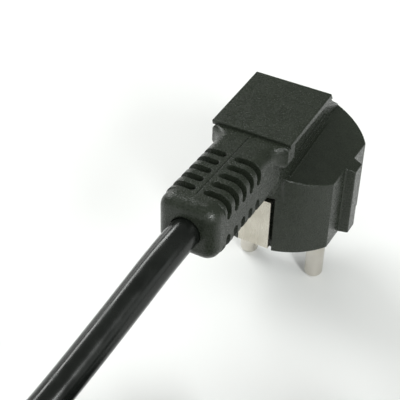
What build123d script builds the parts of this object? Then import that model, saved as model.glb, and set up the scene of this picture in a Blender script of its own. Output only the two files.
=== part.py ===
from build123d import *
import math
import os

os.makedirs("parts", exist_ok=True)

# ---------------------------------------------------------------------------
# Driving dimensions, in millimetres.
# X: from the live pin to the neutral pin, +Y away from the cord, +Z up, z = 0 at the tips of the pins.
# The dimensions count from the middle between the pins. The row frame's origin is the middle of the
# plug's own box at the pin tips, so every finished piece is moved by FRAME_Y along Y.
# ---------------------------------------------------------------------------
FRAME_Y = 16.85        # from the middle of the plug's box to the middle between the pins
PIN_X = 9.5            # half the pin spacing
PIN_R = 2.4            # pin radius
PIN_TIP = 1.6          # rounding of the pin tip
FACE_Z = 19.0          # contact face, so also the pin length

DISC_R = 18.5          # round body
FLAT_X = 15.73         # half distance between the flats
TOOTH_X = 18.07        # half distance over the guide teeth
TOOTH_BASE = 2.65      # half width of a tooth at its foot
TOOTH_TIP = 2.05       # half width of a tooth at its tip
ROOF_Z = 42.6          # ridge of the roof of the round body
ROOF_FALL = 0.27       # fall of the roof for each millimetre of X

PLATE_W = 9.76         # half width of the head plate
# Side profile of the head plate, as (Y, Z): it falls slightly towards the cord and is undercut there.
PLATE_PROFILE = [(-0.9, 55.4), (-1.9, 56.95), (-23.75, 55.72), (-23.35, 54.4)]

NECK_W = 7.06          # half width of the neck
NECK_Z = 48.02         # centre height of the neck
NECK_H = 6.82          # half height of the neck
NECK_END = -52.5       # end face of the neck
COLLAR_Y = -48.4       # start of the plain end collar
SLOT_Y0, SLOT_STEP, SLOT_COUNT, SLOT_W = -33.15, -3.37, 5, 1.8
SLOT_TOP_X = 1.0       # solid strip left along the top and the bottom, half width
SLOT_UP, SLOT_LOW = 50.1, 45.97
SLOT_FLOOR = 5.0       # distance of the slot floor from the neck axis

CARRIER_TOP = 31.0     # top of the pin carrier
TAIL_TOP = 32.0        # top of the pin tails
EARTH_Y = 10.0         # earth sleeve
EARTH_R = 2.45         # bore of the earth sleeve
EARTH_RO = 3.3
EARTH_Z0, EARTH_Z1 = 19.8, 33.3
STRIP_T = 0.7          # thickness of the earth strip
STRIP_W = 4.0          # half width of the earth strip

CORD_R = 3.5           # cord radius
CORD_Z = 48.0          # height of the cord at the neck
CORE_R = 1.2           # insulated core radius
CORE_PCR = 1.45        # distance of a core from the cord axis
SHEATH_Y = -40.0       # end of the sheath inside the neck
SHEATH_GAP = 0.02      # clearance round the sheath in its bore

COIL_X, COIL_Y = 32.0, -118.0     # axis of the coil
COIL_TOP_Z, COIL_MID_Z, COIL_BOT_Z = 16.77, 10.535, 4.3
CONN_X, CONN_Z = 67.0, 30.27      # axis of the connector
CONN_FRONT, CONN_STEP, CONN_REAR, CONN_END = -71.0, -88.0, -103.0, -123.0
CONN_SHEATH = -110.0   # end of the sheath inside the connector

# Route of the cord. The radii of its bends follow from its runs.
RUN_POINTS = [
    (0.0, SHEATH_Y, CORD_Z),
    (0.0, -57.8, 48.0),
    (-5.4, -88.0, 34.5),
    (-9.9, -104.5, 27.1),
    (-11.02, -111.25, 24.35),
]
LEAD_POINTS = [
    (-11.02, -111.25, 24.35),
    (-12.14, -118.0, 21.6),
    (-11.33, -132.08, 18.77),
    (-4.86, -144.78, 17.77),
]
TAIL_POINTS = [
    (27.0, -158.17, 23.85),
    (38.96, -158.0, 24.37),
    (51.83, -152.67, 26.17),
    (61.6, -142.8, 28.47),
    (66.85, -129.96, 30.1),
    (67.0, -118.5, CONN_Z),
    (67.0, CONN_SHEATH, CONN_Z),
]


def save(part, name):
    part = part.moved(Location((0, FRAME_Y, 0)))
    part.label = name
    export_step(part, "parts/" + name + ".step")
    print(name, "volume", round(part.volume, 1), "solids", len(part.solids()))


def bend_radii(points, share=0.45):
    radii = []
    for a, b, c in zip(points, points[1:], points[2:]):
        u = Vector(*b) - Vector(*a)
        v = Vector(*c) - Vector(*b)
        turn = math.radians(u.get_angle(v))
        radii.append(share * min(u.length, v.length) / math.tan(turn / 2))
    return radii


def spine_half(y):
    return 5.6 - 0.055 * y


def across(x, y, z):
    # Plane across the cord direction: local X is +X, local Y is +Z, and an extrusion goes towards -Y.
    return Plane(origin=(x, y, z), x_dir=(1, 0, 0), z_dir=(0, -1, 0))


# ---------------------------------------------------------------------------
# Pins, with a collar and a crimp tail inside the moulding.
# ---------------------------------------------------------------------------
pins = {}
for pin_name, side in (("live_pin", -1), ("neutral_pin", 1)):
    with BuildPart() as pin:
        with BuildSketch(Plane.XY) as pin_foot:
            with Locations((side * PIN_X, 0)):
                Circle(PIN_R)
        extrude(amount=FACE_Z)
        fillet(pin.edges().filter_by(GeomType.CIRCLE).sort_by(Axis.Z)[0], radius=PIN_TIP)
        with BuildSketch(Plane.XY.offset(FACE_Z)) as pin_shank:
            with Locations((side * PIN_X, 0)):
                Circle(2.2)
        extrude(amount=4.0)
        with BuildSketch(Plane.XY.offset(23.0)) as pin_collar:
            with Locations((side * PIN_X, 0)):
                Circle(3.2)
        extrude(amount=2.0)
        with BuildSketch(Plane.XY.offset(25.0)) as pin_tail:
            with Locations((side * PIN_X, 0)):
                Circle(2.0)
        extrude(amount=TAIL_TOP - 25.0)
        with BuildSketch(Plane.XY.offset(26.5)) as pin_crimp:
            with Locations((side * PIN_X, 0)):
                Circle(0.85)
        extrude(amount=TAIL_TOP - 26.5, mode=Mode.SUBTRACT)
    pins[pin_name] = pin
    save(pin.part, pin_name)

strands = {}
for strand_name, side in (("live_strands", -1), ("neutral_strands", 1)):
    with BuildPart() as strand:
        with BuildSketch(Plane.XY.offset(26.5)) as strand_foot:
            with Locations((side * PIN_X, 0)):
                Circle(0.85)
        extrude(amount=TAIL_TOP - 26.5)
    strands[strand_name] = strand
    save(strand.part, strand_name)

# ---------------------------------------------------------------------------
# Earth sleeve, split above its mouth, and the earth strip with its two spring clips.
# ---------------------------------------------------------------------------
with BuildPart() as earth_socket:
    with BuildSketch(Plane.XY.offset(EARTH_Z0)) as sleeve_ring:
        with Locations((0, EARTH_Y)):
            Circle(EARTH_RO)
            Circle(EARTH_R, mode=Mode.SUBTRACT)
    extrude(amount=EARTH_Z1 - EARTH_Z0)
    with BuildSketch(Plane.XY.offset(24.0)) as sleeve_slit:
        with Locations((0, EARTH_Y + 2.9)):
            Rectangle(0.7, 2.4)
    extrude(amount=EARTH_Z1 - 24.0, mode=Mode.SUBTRACT)
save(earth_socket.part, "earth_socket")

with BuildPart() as earth_strip:
    with BuildSketch(Plane.YZ) as strip_profile:
        Polygon(
            (-18.8, 20.0), (-17.3, 20.0), (-17.3, 20.7), (-18.1, 21.5), (-18.1, 33.3),
            (18.1, 33.3), (18.1, 21.5), (17.3, 20.7), (17.3, 20.0), (18.8, 20.0),
            (18.8, 34.0), (-18.8, 34.0),
            align=None,
        )
    extrude(amount=STRIP_W, both=True)
    with BuildSketch(Plane.XY.offset(34.0)) as strip_crimp:
        with Locations((0, -7.5)):
            Rectangle(3.2, 5.0)
    extrude(amount=2.5)
    with BuildSketch(across(0, -6.0, 35.2)) as crimp_hole:
        Circle(0.7)
    extrude(amount=4.0, mode=Mode.SUBTRACT)
save(earth_strip.part, "earth_strip")

with BuildPart() as earth_strands:
    with BuildSketch(across(0, -6.0, 35.2)) as earth_strand_face:
        Circle(0.7)
    extrude(amount=4.0)
save(earth_strands.part, "earth_strands")

# ---------------------------------------------------------------------------
# Insulated cores from the end of the sheath to the pins and to the earth strip.
# ---------------------------------------------------------------------------
CORE_ROUTES = {
    "live_core": [
        (-CORE_PCR * 0.866, SHEATH_Y, CORD_Z - CORE_PCR / 2), (-1.26, -27.0, 47.2),
        (-2.4, -19.5, 44.2), (-6.2, -11.5, 38.3), (-9.5, -4.2, 36.6), (-9.5, 0, 36.7), (-9.5, 0, TAIL_TOP),
    ],
    "neutral_core": [
        (CORE_PCR * 0.866, SHEATH_Y, CORD_Z - CORE_PCR / 2), (1.26, -27.0, 47.2),
        (2.4, -19.5, 44.2), (6.2, -11.5, 38.3), (9.5, -4.2, 36.6), (9.5, 0, 36.7), (9.5, 0, TAIL_TOP),
    ],
    "earth_core": [
        (0, SHEATH_Y, CORD_Z + CORE_PCR), (0, -19.8, 49.5), (0, -14.2, 35.2), (0, -10.0, 35.2),
    ],
}
cores = {}
for core_name, core_points in CORE_ROUTES.items():
    core_radii = bend_radii(core_points)
    with BuildPart() as core:
        with BuildLine() as core_line:
            FilletPolyline(*core_points, radius=core_radii)
        with BuildSketch(Plane(origin=core_line.line @ 0, z_dir=core_line.line % 0)) as core_face:
            Circle(CORE_R)
        sweep()
    cores[core_name] = core
    save(core.part, core_name)
    print("  ideal volume", round(math.pi * CORE_R ** 2 * sum(e.length for e in core_line.edges()), 1))

# ---------------------------------------------------------------------------
# Pin carrier, moulded round the pins and the earth sleeve.
# ---------------------------------------------------------------------------
with BuildPart() as carrier_block:
    with BuildSketch(Plane.XY.offset(FACE_Z)) as carrier_plan:
        SlotOverall(28.0, 12.4)
        with Locations((0, EARTH_Y / 2)):
            Rectangle(10.4, EARTH_Y)
        with Locations((0, EARTH_Y)):
            Circle(5.2)
    extrude(amount=CARRIER_TOP - FACE_Z)

with BuildPart() as pin_carrier:
    add(carrier_block.part)
    with BuildSketch(Plane.XY.offset(EARTH_Z0)) as sleeve_seat:
        with Locations((0, EARTH_Y)):
            Circle(EARTH_RO)
    extrude(amount=CARRIER_TOP - EARTH_Z0, mode=Mode.SUBTRACT)
    with BuildSketch(Plane.XY.offset(FACE_Z)) as sleeve_mouth:
        with Locations((0, EARTH_Y)):
            Circle(2.75)
    extrude(amount=EARTH_Z0 - FACE_Z, mode=Mode.SUBTRACT)
    for side in (-1, 1):
        with BuildSketch(Plane.XY.offset(FACE_Z)) as shank_seat:
            with Locations((side * PIN_X, 0)):
                Circle(2.2)
        extrude(amount=4.0, mode=Mode.SUBTRACT)
        with BuildSketch(Plane.XY.offset(23.0)) as collar_seat:
            with Locations((side * PIN_X, 0)):
                Circle(3.2)
        extrude(amount=2.0, mode=Mode.SUBTRACT)
        with BuildSketch(Plane.XY.offset(25.0)) as tail_seat:
            with Locations((side * PIN_X, 0)):
                Circle(2.0)
        extrude(amount=CARRIER_TOP - 25.0, mode=Mode.SUBTRACT)
save(pin_carrier.part, "pin_carrier")

# ---------------------------------------------------------------------------
# Plug body: one soft moulding round everything above.
# ---------------------------------------------------------------------------
with BuildPart() as round_body:
    with BuildSketch(Plane.XY.offset(FACE_Z)) as body_plan:
        Circle(DISC_R)
        Rectangle(2 * FLAT_X, 60, mode=Mode.INTERSECT)
        for side in (-1, 1):
            Polygon(
                (side * 14.0, -TOOTH_BASE), (side * FLAT_X, -TOOTH_BASE), (side * TOOTH_X, -TOOTH_TIP),
                (side * TOOTH_X, TOOTH_TIP), (side * FLAT_X, TOOTH_BASE), (side * 14.0, TOOTH_BASE),
                align=None,
            )
    extrude(amount=26.0)
    with BuildSketch(Plane.XZ) as roof_profile:
        Polygon(
            (-22, FACE_Z), (22, FACE_Z), (22, ROOF_Z - ROOF_FALL * 22), (0, ROOF_Z),
            (-22, ROOF_Z - ROOF_FALL * 22),
            align=None,
        )
    extrude(amount=30.0, both=True, mode=Mode.INTERSECT)
    # Every edge but the ridge and those of the contact face is rounded.
    fillet(
        round_body.edges().filter_by(
            lambda e: e.center().Z > FACE_Z + 0.01 and (abs(e.center().X) > 0.01 or abs(e.center().Y) > 0.01)
        ),
        radius=0.4,
    )

with BuildPart() as spine:
    with BuildSketch(Plane.XY.offset(30.0)) as spine_plan:
        Polygon(
            (-spine_half(17.3), 17.3), (spine_half(17.3), 17.3), (spine_half(-25), -25), (-spine_half(-25), -25),
            align=None,
        )
    extrude(amount=27.0)
    with BuildSketch(Plane.YZ) as spine_side:
        Polygon(
            (17.3, 32), (17.3, 42.1), (15.5, 43.4), (-0.9, 51.2), (-1.1, 55.9), (-23, 54.7), (-25, 53.6), (-25, 41.4),
            (-17.8, 41.4), (-17.2, 32),
            align=None,
        )
    extrude(amount=20.0, both=True, mode=Mode.INTERSECT)
    fillet(spine.edges().filter_by(lambda e: e.center().Y > 5 and e.center().Z > 41.5), radius=0.5)

with BuildPart() as plate:
    with BuildSketch(Plane.YZ) as plate_side:
        Polygon(*PLATE_PROFILE, align=None)
    extrude(amount=PLATE_W, both=True)
    fillet(plate.edges().filter_by(lambda e: e.center().Z > 55.6), radius=0.3)

# Thin ribs along the sides of the spine and its foot on the roof.
with BuildPart() as spine_ribs:
    for rib_z, rib_h, rib_out, rib_y0, rib_y1 in (
        (44.6, 0.42, 0.35, 7.0, -10.0), (42.4, 0.42, 0.35, 10.0, -12.6), (36.0, 5.1, 0.6, 15.0, -15.5),
    ):
        with BuildSketch(Plane.XY.offset(rib_z)) as rib_plan:
            Polygon(
                (-spine_half(rib_y0) - rib_out, rib_y0), (spine_half(rib_y0) + rib_out, rib_y0),
                (spine_half(rib_y1) + rib_out, rib_y1), (-spine_half(rib_y1) - rib_out, rib_y1),
                align=None,
            )
        extrude(amount=rib_h)

with BuildPart() as neck:
    with BuildSketch(across(0, -22.0, NECK_Z)) as neck_face:
        RectangleRounded(2 * NECK_W, 2 * NECK_H, 2.8)
    extrude(amount=-22.0 - COLLAR_Y)
    with BuildSketch(across(0, COLLAR_Y, NECK_Z)) as collar_face:
        RectangleRounded(2 * NECK_W, 2 * NECK_H, 3.4)
    extrude(amount=COLLAR_Y - NECK_END)
    fillet(neck.faces().sort_by(Axis.Y)[0].edges(), radius=2.6)

# Flares: the top of the neck widens in a hollow curve to the front corners of the head plate.
with BuildPart() as flares:
    for flare_y, flare_w, flare_r in (
        (-27.4, 7.06, 2.7), (-26.3, 7.26, 2.6), (-25.3, 7.8, 2.3), (-24.5, 8.6, 1.9), (-23.9, 9.5, 1.5)
    ):
        with BuildSketch(across(0, flare_y, 52.04)) as flare_section:
            RectangleRounded(2 * flare_w, 5.6, flare_r)
    loft()
    with BuildSketch(across(0, -20.6, 52.04)) as flare_back:
        RectangleRounded(2 * 9.5, 5.6, 1.5)
    extrude(amount=3.3)

# Solid core of the neck, which the slots leave standing.
with BuildPart() as neck_core:
    with BuildSketch(across(0, -30.0, NECK_Z)) as core_rect:
        RectangleRounded(2 * SLOT_FLOOR, 2 * SLOT_FLOOR, 1.2)
    extrude(amount=21.0)

# Slots across the neck: an upper and a lower one on each side, in five rows, with rounded ends.
SLOT_ROWS = [SLOT_Y0 + SLOT_STEP * row for row in range(SLOT_COUNT)]
slot_cutters = []
for side in (-1, 1):
    for up in (-1, 1):
        side_end = SLOT_UP if up > 0 else SLOT_LOW
        with BuildPart() as slot_cutter:
            with BuildSketch(Plane.XY.offset(NECK_Z - 12.0)) as slot_plan:
                with Locations(*[(side * (SLOT_TOP_X + 5.0), y) for y in SLOT_ROWS]):
                    SlotOverall(10.0, SLOT_W)
            extrude(amount=24.0)
            with BuildSketch(Plane.YZ.offset(-12.0)) as slot_side:
                with Locations(*[(y, side_end + up * 5.0) for y in SLOT_ROWS]):
                    SlotOverall(10.0, SLOT_W, rotation=90)
            extrude(amount=24.0, mode=Mode.INTERSECT)
            add(neck_core.part, mode=Mode.SUBTRACT)
        slot_cutters.append(slot_cutter)

# Seat of the sheath in the neck, along the cord's own line.
with BuildPart() as sheath_seat:
    with BuildLine() as seat_line:
        FilletPolyline(*RUN_POINTS, radius=bend_radii(RUN_POINTS))
    with BuildSketch(Plane(origin=seat_line.line @ 0, z_dir=seat_line.line % 0)) as seat_face:
        Circle(CORD_R + SHEATH_GAP)
    sweep()

with BuildPart() as plug_body:
    add(round_body.part)
    add(spine.part)
    add(spine_ribs.part)
    add(neck.part)
    add(flares.part)
    add(plate.part)
    for slot_cutter in slot_cutters:
        add(slot_cutter.part, mode=Mode.SUBTRACT)
    # Parting line of the mould along the top of the neck.
    with BuildSketch(Plane.XY.offset(NECK_Z + NECK_H - 0.12)) as parting_plan:
        with Locations((0, (-24.6 + COLLAR_Y) / 2)):
            Rectangle(0.22, -24.6 - COLLAR_Y)
    extrude(amount=0.5, mode=Mode.SUBTRACT)
    # Clip grooves at the front and the back of the round body.
    for side in (-1, 1):
        with BuildSketch(Plane.XY.offset(FACE_Z)) as groove_plan:
            with Locations((0, side * 18.1)):
                Rectangle(9.2, 3.0)
        extrude(amount=15.8, mode=Mode.SUBTRACT)
    # Seats of the inner pieces.
    add(carrier_block.part, mode=Mode.SUBTRACT)
    with BuildSketch(Plane.XY.offset(EARTH_Z0)) as body_sleeve_seat:
        with Locations((0, EARTH_Y)):
            Circle(EARTH_RO)
    extrude(amount=EARTH_Z1 - EARTH_Z0, mode=Mode.SUBTRACT)
    with BuildSketch(Plane.XY.offset(EARTH_Z1)) as bridge_seat:
        Rectangle(2 * STRIP_W, 36.0)
    extrude(amount=STRIP_T, mode=Mode.SUBTRACT)
    with BuildSketch(Plane.XY.offset(34.0)) as crimp_seat:
        with Locations((0, -7.5)):
            Rectangle(3.2, 5.0)
    extrude(amount=2.5, mode=Mode.SUBTRACT)
    for side in (-1, 1):
        with BuildSketch(Plane.XY.offset(CARRIER_TOP - 0.5)) as tail_room:
            with Locations((side * PIN_X, 0)):
                Circle(2.0)
        extrude(amount=TAIL_TOP - CARRIER_TOP + 0.5, mode=Mode.SUBTRACT)
    for core in cores.values():
        add(core.part, mode=Mode.SUBTRACT)
    add(sheath_seat.part, mode=Mode.SUBTRACT)
save(plug_body.part, "plug_body")

# ---------------------------------------------------------------------------
# Cord from the plug to the coil, the coil, its tie, and the cord from the coil to the connector.
# ---------------------------------------------------------------------------
for tube_name, tube_points in (("cord_run", RUN_POINTS), ("cord_tail", TAIL_POINTS)):
    tube_radii = bend_radii(tube_points)
    with BuildPart() as tube:
        with BuildLine() as tube_line:
            FilletPolyline(*tube_points, radius=tube_radii)
        with BuildSketch(Plane(origin=tube_line.line @ 0, z_dir=tube_line.line % 0)) as tube_face:
            Circle(CORD_R)
        sweep()
    save(tube.part, tube_name)
    print("  radii", [round(r, 1) for r in tube_radii], "length", round(sum(e.length for e in tube_line.edges()), 1))
    print("  ideal volume", round(math.pi * CORD_R ** 2 * sum(e.length for e in tube_line.edges()), 1))

with BuildPart() as lead_in:
    lead_radii = bend_radii(LEAD_POINTS)
    print("  lead radii", [round(r, 1) for r in lead_radii])
    with BuildLine() as lead_line:
        FilletPolyline(*LEAD_POINTS, radius=lead_radii)
    with BuildSketch(Plane(origin=lead_line.line @ 0, z_dir=lead_line.line % 0)) as lead_face:
        Circle(CORD_R)
    sweep()

with BuildPart() as lead_out:
    out_way = Vector(*TAIL_POINTS[1]) - Vector(*TAIL_POINTS[0])
    with BuildSketch(Plane(origin=TAIL_POINTS[0], z_dir=-out_way)) as out_face:
        Circle(CORD_R)
    extrude(amount=14.0)

COIL_PLANE = Plane(origin=(COIL_X, COIL_Y, 0), x_dir=(1, 0, 0), z_dir=(0, -1, 0))
COIL_OUTLINE = [
    (35.4, COIL_TOP_Z), (42.6, COIL_TOP_Z), (46.2, COIL_MID_Z), (42.6, COIL_BOT_Z), (35.4, COIL_BOT_Z), (31.8, COIL_MID_Z),
]
with BuildPart() as cord_coil:
    with BuildSketch(COIL_PLANE) as coil_section:
        Polygon(*COIL_OUTLINE, align=None)
        offset(amount=CORD_R, kind=Kind.ARC)
    revolve(axis=Axis((COIL_X, COIL_Y, 0), (0, 0, 1)), revolution_arc=360)
    add(lead_in.part)
    add(lead_out.part)
save(cord_coil.part, "cord_coil")

with BuildPart() as coil_tie:
    TIE_ANGLE = 118.0
    tie_plane = Plane(
        origin=(COIL_X, COIL_Y, 0),
        x_dir=(math.cos(math.radians(TIE_ANGLE)), math.sin(math.radians(TIE_ANGLE)), 0),
        z_dir=(math.sin(math.radians(TIE_ANGLE)), -math.cos(math.radians(TIE_ANGLE)), 0),
    )
    with BuildSketch(tie_plane) as tie_section:
        Polygon(*COIL_OUTLINE, align=None)
        offset(amount=CORD_R + 0.8, kind=Kind.ARC)
    extrude(amount=2.0, both=True)
    with BuildSketch(tie_plane) as tie_room:
        Polygon(*COIL_OUTLINE, align=None)
        offset(amount=CORD_R + 0.06, kind=Kind.ARC)
    extrude(amount=3.0, both=True, mode=Mode.SUBTRACT)
save(coil_tie.part, "coil_tie")

# ---------------------------------------------------------------------------
# Connector at the far end: contacts, insert, cores and body.
# ---------------------------------------------------------------------------
CONTACTS = {"connector_live": (-7.0, -2.0), "connector_neutral": (7.0, -2.0), "connector_earth": (0.0, 2.0)}
for contact_name, (dx, dz) in CONTACTS.items():
    with BuildPart() as contact:
        with BuildSketch(across(CONN_X + dx, CONN_FRONT - 1.0, CONN_Z + dz)) as contact_box:
            Rectangle(3.2, 5.2)
        extrude(amount=20.0)
        with BuildSketch(across(CONN_X + dx, CONN_FRONT - 1.0, CONN_Z + dz)) as contact_bore:
            Rectangle(2.3, 4.3)
        extrude(amount=16.0, mode=Mode.SUBTRACT)
        with BuildSketch(across(CONN_X + dx, CONN_FRONT - 21.0, CONN_Z + dz)) as contact_neck:
            Circle(1.5)
        extrude(amount=3.0)
        with BuildSketch(across(CONN_X + dx, CONN_FRONT - 20.0, CONN_Z + dz)) as contact_crimp:
            Circle(0.7)
        extrude(amount=4.0, mode=Mode.SUBTRACT)
    save(contact.part, contact_name)
    with BuildPart() as end_strands:
        with BuildSketch(across(CONN_X + dx, CONN_FRONT - 20.0, CONN_Z + dz)) as end_strand_face:
            Circle(0.7)
        extrude(amount=4.0)
    save(end_strands.part, contact_name + "_strands")

CRIMP_Y = CONN_FRONT - 24.0
END_CORES = {}
for contact_name, (dx, dz), (sx, sz) in (
    ("connector_live", CONTACTS["connector_live"], (-CORE_PCR * 0.866, -CORE_PCR / 2)),
    ("connector_neutral", CONTACTS["connector_neutral"], (CORE_PCR * 0.866, -CORE_PCR / 2)),
    ("connector_earth", CONTACTS["connector_earth"], (0.0, CORE_PCR)),
):
    end_points = [
        (CONN_X + sx, CONN_SHEATH, CONN_Z + sz),
        (CONN_X + sx, CONN_SHEATH + 3.5, CONN_Z + sz),
        (CONN_X + dx, CRIMP_Y - 3.5, CONN_Z + dz),
        (CONN_X + dx, CRIMP_Y, CONN_Z + dz),
    ]
    with BuildPart() as end_core:
        with BuildLine() as end_line:
            FilletPolyline(*end_points, radius=bend_radii(end_points))
        with BuildSketch(Plane(origin=end_line.line @ 0, z_dir=end_line.line % 0)) as end_core_face:
            Circle(CORE_R)
        sweep()
    END_CORES[contact_name] = end_core
    save(end_core.part, contact_name + "_core")

with BuildPart() as insert_block:
    with BuildSketch(across(CONN_X, CONN_FRONT, CONN_Z)) as insert_face:
        Polygon(
            (-12.0, -7.9), (12.0, -7.9), (12.0, 3.7), (7.8, 7.9), (-7.8, 7.9), (-12.0, 3.7),
            align=None,
        )
        fillet(insert_face.vertices(), radius=1.2)
    extrude(amount=CONN_FRONT - CONN_STEP)
    fillet(insert_block.faces().sort_by(Axis.Y)[-1].edges(), radius=0.5)
    with BuildSketch(across(CONN_X, CONN_STEP, CONN_Z)) as insert_boss:
        RectangleRounded(20.4, 12.0, 1.5)
    extrude(amount=8.0)

with BuildPart() as connector_insert:
    add(insert_block.part)
    for dx, dz in CONTACTS.values():
        with BuildSketch(across(CONN_X + dx, CONN_FRONT + 1.0, CONN_Z + dz)) as mouth_face:
            Rectangle(2.3, 4.3)
        extrude(amount=3.0, mode=Mode.SUBTRACT)
        with BuildSketch(across(CONN_X + dx, CONN_FRONT - 1.0, CONN_Z + dz)) as contact_seat:
            Rectangle(3.2, 5.2)
        extrude(amount=20.0, mode=Mode.SUBTRACT)
        with BuildSketch(across(CONN_X + dx, CONN_FRONT - 21.0, CONN_Z + dz)) as neck_seat:
            Circle(1.5)
        extrude(amount=3.0, mode=Mode.SUBTRACT)
        with BuildSketch(across(CONN_X + dx, CRIMP_Y, CONN_Z + dz)) as core_seat:
            Circle(CORE_R)
        extrude(amount=4.0, mode=Mode.SUBTRACT)
save(connector_insert.part, "connector_insert")

# Seat of the sheath in the connector, along the cord's own line.
with BuildPart() as end_sheath_seat:
    with BuildLine() as end_seat_line:
        FilletPolyline(*TAIL_POINTS[::-1], radius=bend_radii(TAIL_POINTS[::-1]))
    with BuildSketch(Plane(origin=end_seat_line.line @ 0, z_dir=end_seat_line.line % 0)) as end_seat_face:
        Circle(CORD_R + SHEATH_GAP)
    sweep()

with BuildPart() as connector_body:
    with BuildSketch(across(CONN_X, CONN_STEP, CONN_Z)) as shell_face:
        Polygon(
            (-14.0, -10.0), (14.0, -10.0), (14.0, 5.2), (9.2, 10.0), (-9.2, 10.0), (-14.0, 5.2),
            align=None,
        )
        fillet(shell_face.vertices(), radius=2.4)
    extrude(amount=CONN_STEP - CONN_REAR)
    fillet(connector_body.faces().sort_by(Axis.Y)[0].edges(), radius=2.2)
    fillet(connector_body.faces().sort_by(Axis.Y)[-1].edges(), radius=0.6)
    with BuildSketch(across(CONN_X, CONN_REAR + 1.0, CONN_Z)) as relief_root:
        Circle(7.4)
    with BuildSketch(across(CONN_X, CONN_END, CONN_Z)) as relief_tip:
        Circle(5.3)
    loft()
    for row in range(4):
        with BuildSketch(across(CONN_X, -107.2 - 3.4 * row, CONN_Z)) as relief_slot:
            Rectangle(30, 30)
            Circle(4.75, mode=Mode.SUBTRACT)
            if row % 2:
                Rectangle(2.6, 30, mode=Mode.SUBTRACT)
            else:
                Rectangle(30, 2.6, mode=Mode.SUBTRACT)
        extrude(amount=1.4, mode=Mode.SUBTRACT)
    add(insert_block.part, mode=Mode.SUBTRACT)
    for end_core in END_CORES.values():
        add(end_core.part, mode=Mode.SUBTRACT)
    add(end_sheath_seat.part, mode=Mode.SUBTRACT)
save(connector_body.part, "connector_body")
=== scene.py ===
import math

import bmesh
import bpy
from mathutils import Matrix, Vector


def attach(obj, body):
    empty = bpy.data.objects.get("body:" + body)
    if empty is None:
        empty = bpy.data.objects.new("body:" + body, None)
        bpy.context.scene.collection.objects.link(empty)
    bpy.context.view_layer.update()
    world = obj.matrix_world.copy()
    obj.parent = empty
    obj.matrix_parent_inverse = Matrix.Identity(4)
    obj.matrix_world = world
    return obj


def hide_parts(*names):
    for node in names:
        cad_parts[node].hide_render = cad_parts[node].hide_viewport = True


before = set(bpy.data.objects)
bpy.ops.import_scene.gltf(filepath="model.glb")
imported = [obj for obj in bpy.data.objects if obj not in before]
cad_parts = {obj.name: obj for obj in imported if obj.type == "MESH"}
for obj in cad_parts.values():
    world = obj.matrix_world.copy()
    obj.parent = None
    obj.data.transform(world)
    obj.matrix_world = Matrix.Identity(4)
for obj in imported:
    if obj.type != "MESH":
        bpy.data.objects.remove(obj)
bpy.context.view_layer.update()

FRAME_Y = 16.85  # the pins' middle lies this far along Y in the row frame, mm


def P(x, y, z):
    # millimetres counted from the middle between the pin tips, to metres in the row frame
    return Vector((x * 0.001, (y + FRAME_Y) * 0.001, z * 0.001))


# ---------------------------------------------------------------------------
# Materials
# ---------------------------------------------------------------------------
class Nodes:
    def __init__(self, name):
        self.mat = bpy.data.materials.new(name)
        self.mat.use_nodes = True
        self.tree = self.mat.node_tree
        self.tree.nodes.clear()
        self.out = self.add("ShaderNodeOutputMaterial")
        self.bsdf = self.add("ShaderNodeBsdfPrincipled")
        self.link(self.bsdf.outputs[0], self.out.inputs["Surface"])
        self.coord = self.add("ShaderNodeTexCoord").outputs["Object"]

    def add(self, kind, **props):
        node = self.tree.nodes.new(kind)
        for key, value in props.items():
            setattr(node, key, value)
        return node

    def link(self, a, b):
        self.tree.links.new(a, b)

    def scaled(self, scale):
        m = self.add("ShaderNodeMapping")
        m.inputs["Scale"].default_value = scale
        self.link(self.coord, m.inputs["Vector"])
        return m.outputs[0]

    def noise(self, scale, detail=2.0, rough=0.5, vector=None, distortion=0.0):
        n = self.add("ShaderNodeTexNoise")
        n.inputs["Scale"].default_value = scale
        n.inputs["Detail"].default_value = detail
        n.inputs["Roughness"].default_value = rough
        n.inputs["Distortion"].default_value = distortion
        self.link(vector or self.coord, n.inputs["Vector"])
        return n.outputs["Fac"]

    def voronoi(self, scale, vector=None, feature="F1", output="Distance"):
        n = self.add("ShaderNodeTexVoronoi", feature=feature)
        n.inputs["Scale"].default_value = scale
        self.link(vector or self.coord, n.inputs["Vector"])
        return n.outputs[output]

    def ramp(self, fac, stops):
        r = self.add("ShaderNodeValToRGB")
        el = r.color_ramp.elements
        while len(el) < len(stops):
            el.new(0.5)
        for e, (pos, colour) in zip(el, stops):
            e.position = pos
            e.color = (*colour, 1.0) if len(colour) == 3 else colour
        self.link(fac, r.inputs["Fac"])
        return r.outputs["Color"]

    def span(self, fac, lo, hi, a=0.0, b=1.0):
        m = self.add("ShaderNodeMapRange")
        m.inputs["From Min"].default_value = a
        m.inputs["From Max"].default_value = b
        m.inputs["To Min"].default_value = lo
        m.inputs["To Max"].default_value = hi
        self.link(fac, m.inputs["Value"])
        return m.outputs[0]

    def math(self, op, a, b=None):
        n = self.add("ShaderNodeMath", operation=op)
        for i, v in enumerate((a, b)):
            if v is None:
                continue
            if isinstance(v, (int, float)):
                n.inputs[i].default_value = v
            else:
                self.link(v, n.inputs[i])
        return n.outputs[0]

    def bump(self, layers, edge=None):
        # layers of (height, strength, distance in metres), coarse first; edge rounds the shading of sharp edges
        normal = None
        if edge:
            soft = self.add("ShaderNodeBevel", samples=6)
            soft.inputs["Radius"].default_value = edge
            normal = soft.outputs[0]
        for height, strength, distance in layers:
            b = self.add("ShaderNodeBump")
            b.inputs["Strength"].default_value = strength
            b.inputs["Distance"].default_value = distance
            self.link(height, b.inputs["Height"])
            if normal is not None:
                self.link(normal, b.inputs["Normal"])
            normal = b.outputs[0]
        self.link(normal, self.bsdf.inputs["Normal"])

    def set(self, **values):
        for key, value in values.items():
            self.bsdf.inputs[key.replace("_", " ")].default_value = value


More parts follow.
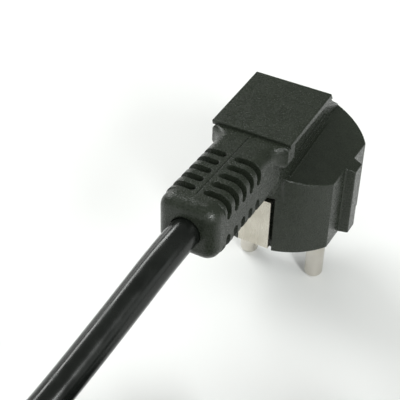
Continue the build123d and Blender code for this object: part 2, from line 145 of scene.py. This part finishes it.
def moulded(name, dark, light, rough_lo, rough_hi, grain=1.0, edge=0.00032):
    # spark-eroded soft plastic: grain of about a third of a millimetre, faint mottling and rubbed, shinier places
    n = Nodes(name)
    mottle = n.noise(330.0, 4.0, 0.62)
    grit = n.noise(3600.0, 2.0, 0.65)
    fine = n.noise(7600.0, 2.0, 0.6)
    both = n.math("ADD", n.math("MULTIPLY", mottle, 0.35), n.math("MULTIPLY", grit, 0.65))
    n.link(n.ramp(both, [(0.36, dark), (0.64, light)]), n.bsdf.inputs["Base Color"])
    wear = n.noise(90.0, 5.0, 0.6, distortion=0.4)
    satin = n.span(n.math("ADD", n.math("MULTIPLY", wear, 0.45), n.math("MULTIPLY", grit, 0.55)), rough_lo, rough_hi, 0.35, 0.65)
    # one grain in ten is flat and shines
    flat = n.math("GREATER_THAN", n.voronoi(2700.0, output="Color"), 0.62)
    n.link(n.math("SUBTRACT", satin, n.math("MULTIPLY", flat, 0.17)), n.bsdf.inputs["Roughness"])
    cells = n.voronoi(4000.0, feature="SMOOTH_F1")
    n.bump([
        (n.noise(260.0, 3.0, 0.5), 0.10 * grain, 0.0006),
        (cells, 0.50 * grain, 0.00014),
        (grit, 0.40 * grain, 0.00010),
        (fine, 0.20 * grain, 0.00004),
    ], edge)
    n.set(Specular_IOR_Level=0.40, IOR=1.47)
    return n.mat


def sheath_material():
    # extruded satin sheath: smooth along, very slight lay of the cores underneath
    n = Nodes("cord_sheath")
    soft = n.noise(240.0, 3.0, 0.55)
    fine = n.noise(4200.0, 2.0, 0.5)
    n.link(n.ramp(n.math("ADD", n.math("MULTIPLY", soft, 0.7), n.math("MULTIPLY", fine, 0.3)),
                  [(0.32, (0.0040, 0.0048, 0.0040)), (0.68, (0.0075, 0.0088, 0.0074))]), n.bsdf.inputs["Base Color"])
    n.link(n.span(soft, 0.19, 0.30, 0.3, 0.7), n.bsdf.inputs["Roughness"])
    n.bump([(n.noise(130.0, 2.0, 0.5), 0.16, 0.0004), (fine, 0.06, 0.00003)])
    n.set(Specular_IOR_Level=0.40, IOR=1.5)
    return n.mat


def plated(name, colour, tint, rough, stretch=(1.0, 1.0, 1.0)):
    # plated metal with fine drawing lines and faint tarnish
    n = Nodes(name)
    lines = n.noise(900.0, 3.0, 0.6, vector=n.scaled(stretch))
    cloud = n.noise(160.0, 4.0, 0.55)
    n.link(n.ramp(cloud, [(0.35, colour), (0.70, tint)]), n.bsdf.inputs["Base Color"])
    n.link(n.span(n.math("ADD", n.math("MULTIPLY", lines, 0.6), n.math("MULTIPLY", cloud, 0.4)), rough * 0.7, rough * 1.5, 0.3, 0.7),
           n.bsdf.inputs["Roughness"])
    n.bump([(lines, 0.16, 0.00003)])
    n.set(Metallic=1.0)
    return n.mat


def core_material(name, a, b, stripe=None):
    n = Nodes(name)
    soft = n.noise(500.0, 2.0, 0.5)
    colour = n.ramp(soft, [(0.3, a), (0.7, b)])
    if stripe:
        wave = n.add("ShaderNodeTexWave", wave_type="BANDS", bands_direction="DIAGONAL")
        wave.inputs["Scale"].default_value = 85.0
        wave.inputs["Distortion"].default_value = 0.4
        n.link(n.coord, wave.inputs["Vector"])
        mix = n.add("ShaderNodeMix", data_type="RGBA")
        n.link(n.ramp(wave.outputs["Fac"], [(0.62, (0, 0, 0)), (0.66, (1, 1, 1))]), mix.inputs[0])
        n.link(colour, mix.inputs[6])
        mix.inputs[7].default_value = (*stripe, 1)
        colour = mix.outputs[2]
    n.link(colour, n.bsdf.inputs["Base Color"])
    n.link(n.span(soft, 0.35, 0.5, 0.3, 0.7), n.bsdf.inputs["Roughness"])
    n.bump([(n.noise(3000.0, 2.0, 0.5), 0.12, 0.00004)])
    return n.mat


def strand_material():
    n = Nodes("bare_copper")
    wave = n.add("ShaderNodeTexWave", wave_type="BANDS", bands_direction="DIAGONAL")
    wave.inputs["Scale"].default_value = 700.0
    n.link(n.coord, wave.inputs["Vector"])
    n.link(n.ramp(wave.outputs["Fac"], [(0.2, (0.42, 0.17, 0.08)), (0.8, (0.82, 0.40, 0.22))]), n.bsdf.inputs["Base Color"])
    n.link(n.span(n.noise(1500.0, 2.0), 0.2, 0.38, 0.3, 0.7), n.bsdf.inputs["Roughness"])
    n.bump([(wave.outputs["Fac"], 0.5, 0.0001)])
    n.set(Metallic=1.0)
    return n.mat


M_BODY = moulded("soft_moulding", (0.0115, 0.0145, 0.0100), (0.0215, 0.0260, 0.0185), 0.26, 0.42, 0.95, 0.00030)
M_HARD = moulded("hard_moulding", (0.0110, 0.0120, 0.0110), (0.0190, 0.0205, 0.0185), 0.32, 0.46, 0.6, 0.0002)
M_CORD = sheath_material()
M_PIN = plated("nickel_plate", (0.68, 0.65, 0.60), (0.56, 0.53, 0.47), 0.20, (1.0, 1.0, 0.12))
M_STRIP = plated("plated_strip", (0.62, 0.59, 0.52), (0.47, 0.44, 0.37), 0.26, (1.0, 1.0, 0.1))
M_BRASS = plated("contact_brass", (0.80, 0.60, 0.28), (0.66, 0.46, 0.20), 0.28, (1.0, 0.1, 1.0))
M_COPPER = strand_material()
M_BROWN = core_material("core_brown", (0.16, 0.065, 0.030), (0.22, 0.095, 0.045))
M_BLUE = core_material("core_blue", (0.030, 0.13, 0.42), (0.045, 0.18, 0.52))
M_EARTH = core_material("core_green_yellow", (0.06, 0.30, 0.07), (0.09, 0.38, 0.09), (0.78, 0.62, 0.05))

NODE_MATERIALS = {
    "plug_body": M_BODY, "connector_body": M_BODY, "pin_carrier": M_HARD, "connector_insert": M_HARD,
    "live_pin": M_PIN, "neutral_pin": M_PIN, "earth_strip": M_STRIP, "earth_socket": M_STRIP,
    "connector_live": M_BRASS, "connector_neutral": M_BRASS, "connector_earth": M_BRASS,
    "live_strands": M_COPPER, "neutral_strands": M_COPPER, "earth_strands": M_COPPER,
    "connector_live_strands": M_COPPER, "connector_neutral_strands": M_COPPER, "connector_earth_strands": M_COPPER,
    "live_core": M_BROWN, "connector_live_core": M_BROWN,
    "neutral_core": M_BLUE, "connector_neutral_core": M_BLUE,
    "earth_core": M_EARTH, "connector_earth_core": M_EARTH,
}
for node_name, material in NODE_MATERIALS.items():
    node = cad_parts[node_name]
    for slot in node.material_slots:
        slot.material = material

# ---------------------------------------------------------------------------
# Cord: one smooth line from inside the neck, down to the floor, round the coil and into the connector
# ---------------------------------------------------------------------------
COIL = (32.0, -118.0)
BUNDLE = [(42.6, 16.77), (46.2, 10.535), (39.0, 10.535), (42.6, 4.3), (35.4, 4.3), (31.8, 10.535), (35.4, 16.77), (40.3, 23.67)]
FIRST = {0: (43.6, 21.6), 1: (45.0, 18.77), 2: (45.0, 17.77), 3: (44.5, 17.35), 4: (43.6, 17.05), 5: (42.9, 16.85)}


def lay(theta):
    # radius and height of the cord after theta degrees of winding: it keeps each place for most of a turn
    r, z = BUNDLE[0]
    for n in range(1, 8):
        centre, width = (185 + 312 * n, 80.0) if n < 7 else (189 + 312 * n, 90.0)
        t = min(1.0, max(0.0, (theta - centre) / width + 0.5))
        s = t * t * t * (t * (6 * t - 15) + 10)
        r += s * (BUNDLE[n][0] - BUNDLE[n - 1][0])
        z += s * (BUNDLE[n][1] - BUNDLE[n - 1][1])
    return r, z


route = [(0.0, -40.0, 48.0), (0.0, -57.8, 48.0), (-5.0, -88.0, 34.5), (-9.0, -104.5, 27.1)]
for k in range(124):
    theta = 180 + 18 * k
    r, z = FIRST.get(k) or lay(theta)
    a = math.radians(theta)
    route.append((COIL[0] + r / 0.9877 * math.cos(a), COIL[1] + r / 0.9877 * math.sin(a), z))
route += [
    (25.04, -158.2, 23.77), (38.96, -158.0, 24.37), (51.83, -152.67, 26.17), (61.6, -142.8, 28.47),
    (66.85, -129.96, 30.1), (67.0, -118.5, 30.27), (67.0, -110.0, 30.27),
]


def nurbs(name, points, radius, resolution=5, sides=6):
    data = bpy.data.curves.new(name, "CURVE")
    data.dimensions = "3D"
    data.resolution_u = resolution
    spline = data.splines.new("NURBS")
    spline.points.add(len(points) - 1)
    for p, co in zip(spline.points, points):
        p.co = (*P(*co), 1.0)
    spline.order_u = 3
    spline.use_endpoint_u = True
    data.bevel_depth = radius
    data.bevel_resolution = sides
    data.use_fill_caps = True
    ob = bpy.data.objects.new(name, data)
    bpy.context.scene.collection.objects.link(ob)
    return ob


cord = nurbs("cord", route, 0.0035, 8, 5)
# The moulding holds the cord straight, so its first bend begins outside the neck.
cord.data.splines[0].points[1].co.w = 2.2
cord.data.materials.append(M_CORD)

# The cord's own centreline, read back from the spline.
line = cord.copy()
line.data = cord.data.copy()
line.data.bevel_depth = 0.0
line.data.use_fill_caps = False
bpy.context.scene.collection.objects.link(line)
bpy.context.view_layer.update()
flat = bpy.data.meshes.new_from_object(line.evaluated_get(bpy.context.evaluated_depsgraph_get()))
CENTRE = [v.co.copy() for v in flat.vertices]
bpy.data.objects.remove(line)
bpy.data.meshes.remove(flat)

# ---------------------------------------------------------------------------
# Coil tie: a flat tie round the bundle where it stands, closed by a twist
# ---------------------------------------------------------------------------
TIE_AT = math.radians(118.0)
axis_point = P(COIL[0], COIL[1], 0.0)
out_way = Vector((math.cos(TIE_AT), math.sin(TIE_AT), 0.0))
along = Vector((-math.sin(TIE_AT), math.cos(TIE_AT), 0.0))
crossings = []
for a, b in zip(CENTRE, CENTRE[1:]):
    da, db = (a - axis_point).dot(along), (b - axis_point).dot(along)
    if da * db <= 0 and (a - axis_point).dot(out_way) > 0 and abs(da - db) > 1e-9:
        p = a.lerp(b, da / (da - db))
        # only the turns of the bundle, not the runs that pass it
        if (p - axis_point).dot(out_way) < 0.052 and p.z < 0.03:
            crossings.append(((p - axis_point).dot(out_way), p.z))


def hull_ring(centres, radius, steps=16):
    # outline of a belt pulled tight round circles of that radius
    cloud = []
    for cx, cz in centres:
        for i in range(48):
            t = 2 * math.pi * i / 48
            cloud.append((cx + radius * math.cos(t), cz + radius * math.sin(t)))
    cloud = sorted(set(cloud))

    def half(points):
        chain = []
        for p in points:
            while len(chain) > 1 and (
                (chain[-1][0] - chain[-2][0]) * (p[1] - chain[-2][1])
                - (chain[-1][1] - chain[-2][1]) * (p[0] - chain[-2][0])
            ) <= 0:
                chain.pop()
            chain.append(p)
        return chain[:-1]

    return half(cloud) + half(cloud[::-1])


def tie_mesh():
    bm = bmesh.new()
    ring = hull_ring(crossings, 0.00358)
    count = len(ring)
    profile = [(-0.0019, 0.00002), (-0.0019, 0.00034), (-0.0006, 0.00040), (0.0, 0.00062), (0.0006, 0.00040),
               (0.0019, 0.00034), (0.0019, 0.00002), (0.0, 0.00002)]
    rows = []
    for i, (r, z) in enumerate(ring):
        r0, z0 = ring[i - 1]
        r1, z1 = ring[(i + 1) % count]
        t = Vector((r1 - r0, z1 - z0)).normalized()
        nr, nz = t.y, -t.x
        row = []
        for w, h in profile:
            q = axis_point + out_way * (r + nr * h) + along * w
            q.z = z + nz * h
            row.append(bm.verts.new(q))
        rows.append(row)
    for i in range(count):
        for j in range(len(profile)):
            a, b = rows[i], rows[(i + 1) % count]
            k = (j + 1) % len(profile)
            bm.faces.new((a[j], a[k], b[k], b[j]))
    # the two ends, twisted round each other and laid along the bundle
    top = max(ring, key=lambda q: q[1] + 0.8 * q[0])
    start = axis_point + out_way * (top[0] + 0.0004)
    start.z = top[1] + 0.0005
    way = (along * -0.97 + out_way * 0.12 - Vector((0, 0, 0.04))).normalized()
    side = way.cross(Vector((0, 0, 1))).normalized()
    up = side.cross(way).normalized()
    for phase in (0.0, math.pi):
        prev = None
        for i in range(57):
            s = i / 56
            ang = phase + s * 2 * math.pi * 3.2
            spread = 0.00075 * (1.0 if s < 0.86 else 1.0 + (s - 0.86) * 7)
            mid = start + way * (s * 0.0155) + (side * math.cos(ang) + up * math.sin(ang)) * spread * 0.8
            flatw = side * math.cos(ang) + up * math.sin(ang)
            thick = way.cross(flatw).normalized()
            quad = [bm.verts.new(mid + flatw * a * 0.00042 + thick * b * 0.0011) for a, b in
                    ((-1, -1), (1, -1), (1, 1), (-1, 1))]
            if prev:
                for j in range(4):
                    bm.faces.new((prev[j], prev[(j + 1) % 4], quad[(j + 1) % 4], quad[j]))
            else:
                bm.faces.new(quad[::-1])
            prev = quad
        bm.faces.new(prev)
    bmesh.ops.recalc_face_normals(bm, faces=bm.faces)
    me = bpy.data.meshes.new("coil_twist_tie")
    bm.to_mesh(me)
    bm.free()
    return me


tie = bpy.data.objects.new("coil_twist_tie", tie_mesh())
bpy.context.scene.collection.objects.link(tie)
M_TIE = moulded("tie_plastic", (0.012, 0.012, 0.012), (0.022, 0.022, 0.022), 0.28, 0.40, 0.5)
tie.data.materials.append(M_TIE)
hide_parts("coil_tie")
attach(tie, "root")

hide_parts("cord_run", "cord_coil", "cord_tail")
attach(cord, "root")

# ---------------------------------------------------------------------------
# Floor, light and camera
# ---------------------------------------------------------------------------
floor_mesh = bpy.data.meshes.new("floor")
bm = bmesh.new()
bmesh.ops.create_circle(bm, cap_ends=True, segments=64, radius=2.5)
bm.to_mesh(floor_mesh)
bm.free()
floor = bpy.data.objects.new("floor", floor_mesh)
bpy.context.scene.collection.objects.link(floor)
nf = Nodes("pale_floor")
nf.link(nf.ramp(nf.noise(14.0, 3.0, 0.5), [(0.3, (0.80, 0.80, 0.80)), (0.7, (0.83, 0.83, 0.83))]), nf.bsdf.inputs["Base Color"])
nf.link(nf.span(nf.noise(40.0, 3.0), 0.55, 0.68, 0.3, 0.7), nf.bsdf.inputs["Roughness"])
nf.bump([(nf.noise(900.0, 2.0), 0.05, 0.0002)])
floor.data.materials.append(nf.mat)

world = bpy.data.worlds.new("studio")
bpy.context.scene.world = world
world.use_nodes = True
bg = world.node_tree.nodes["Background"]
bg.inputs["Color"].default_value = (0.96, 1.0, 0.965, 1.0)
bg.inputs["Strength"].default_value = 0.24


def area(name, place, target, size, power, colour=(1, 1, 1), size_y=None, long_axis=None):
    data = bpy.data.lights.new(name, "AREA")
    data.shape = "RECTANGLE"
    data.size = size
    data.size_y = size_y or size
    data.energy = power
    data.color = colour
    ob = bpy.data.objects.new(name, data)
    ob.location = place
    ob.rotation_euler = (Vector(target) - Vector(place)).to_track_quat("-Z", "Y").to_euler()
    if long_axis is not None:
        away = (Vector(place) - Vector(target)).normalized()
        y_axis = (long_axis - long_axis.dot(away) * away).normalized()
        ob.rotation_euler = Matrix((y_axis.cross(away), y_axis, away)).transposed().to_euler()
    bpy.context.scene.collection.objects.link(ob)
    return ob


centre = P(0, -40, 35)
# a wide soft sky that lights without a reflection of its own
area("overhead", centre + Vector((-0.10, -0.10, 1.15)), centre, 1.8, 8.8, (1.0, 1.0, 0.97)).visible_glossy = False
# a long narrow window above the cord, in line with it
area("window_left", centre + Vector((-0.88, 0.23, 0.76)), centre, 0.24, 8.5, (0.98, 1.0, 0.98), 0.9,
     Vector((-0.16, -0.90, -0.40)))
area("backdrop_left", centre + Vector((-1.00, 0.55, 0.26)), centre, 0.8, 1.6, (1.0, 1.0, 0.98), 0.35)
area("window_front", centre + Vector((0.36, -1.14, 0.56)), centre, 0.5, 3.5, (0.97, 1.0, 0.98), 0.35)
area("fill_right", centre + Vector((1.10, 0.08, 0.30)), centre, 0.55, 0.9, (0.95, 1.0, 0.97))
area("strip_right", centre + Vector((0.78, -0.60, 0.60)), centre, 0.18, 8.5, (0.97, 1.0, 0.98), 0.34)

camera_data = bpy.data.cameras.new("photo_camera")
camera_data.sensor_fit = "HORIZONTAL"
camera_data.sensor_width = 36.0
camera_data.sensor_height = 36.0
camera_data.lens = 94.43
camera_data.clip_start = 0.01
camera_data.clip_end = 20.0
camera = bpy.data.objects.new("photo_camera", camera_data)
right = Vector((0.8719, 0.4893, 0.0215)).normalized()
back = Vector((0.3731, -0.6919, 0.6181)).normalized()
up = back.cross(right).normalized()
right = up.cross(back).normalized()
turn = Matrix((right, up, back)).transposed().to_4x4()
camera.matrix_world = Matrix.Translation(P(81.15, -196.96, 186.52)) @ turn
bpy.context.scene.collection.objects.link(camera)
bpy.context.scene.camera = camera
bpy.context.scene.view_settings.view_transform = "Standard"
